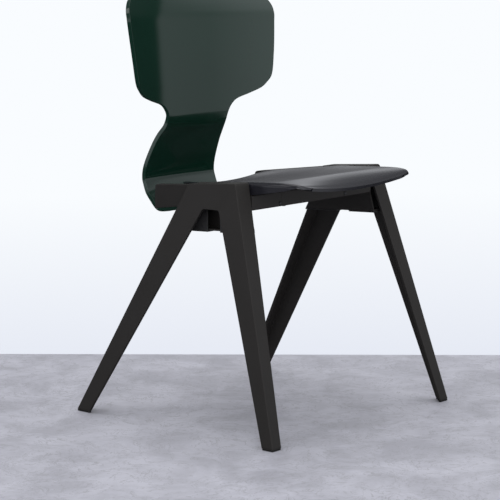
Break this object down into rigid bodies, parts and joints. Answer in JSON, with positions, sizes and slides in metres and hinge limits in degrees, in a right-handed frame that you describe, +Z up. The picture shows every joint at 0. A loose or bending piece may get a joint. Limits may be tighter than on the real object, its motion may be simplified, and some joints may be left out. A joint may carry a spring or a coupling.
{
  "type": "stacking side chair",
  "caption": "Nesting side chair: splayed A-frames of folded steel joined by crossbars, a thin dished seat shell and a back shell whose neck curls under the rear bar.",
  "frame": {"origin": "on the floor under the middle of the footprint of the feet", "axes": "+X forwards, out of the seat; +Y to the sitter's left; +Z up"},
  "size_m": [0.4812, 0.4932, 0.7592],
  "materials": {
    "coated_steel": "satin",
    "seat_black": "satin",
    "back_green": "gloss",
    "black_nylon": "matte",
    "grey_nylon": "matte",
    "black_zinc": "satin"
  },
  "bodies": {
    "root": {"right_shoulder": "coated_steel", "right_front_leg": "coated_steel", "right_rear_leg": "coated_steel", "right_inner_rail": "coated_steel", "right_rear_arm": "coated_steel", "right_crossbar_socket": "coated_steel", "right_front_foot_glide": "black_nylon", "right_rear_foot_glide": "black_nylon", "right_front_stacking_pad": "grey_nylon", "right_rear_stacking_pad": "grey_nylon", "right_crossbar_screw": "black_zinc", "left_shoulder": "coated_steel", "left_front_leg": "coated_steel", "left_rear_leg": "coated_steel", "left_inner_rail": "coated_steel", "left_rear_arm": "coated_steel", "left_crossbar_socket": "coated_steel", "left_front_foot_glide": "black_nylon", "left_rear_foot_glide": "black_nylon", "left_front_stacking_pad": "grey_nylon", "left_rear_stacking_pad": "grey_nylon", "left_crossbar_screw": "black_zinc", "front_crossbar": "coated_steel", "rear_crossbar": "coated_steel", "back_clamp_plate": "coated_steel", "seat_shell": "seat_black", "back_shell": "back_green", "seat_spacer_1": "black_nylon", "seat_bolt_1": "black_zinc", "back_bolt_1": "black_zinc", "seat_spacer_2": "black_nylon", "seat_bolt_2": "black_zinc", "back_bolt_2": "black_zinc", "seat_spacer_3": "black_nylon", "seat_bolt_3": "black_zinc", "back_bolt_3": "black_zinc", "seat_spacer_4": "black_nylon", "seat_bolt_4": "black_zinc", "back_bolt_4": "black_zinc"}
  },
  "joints": []
}
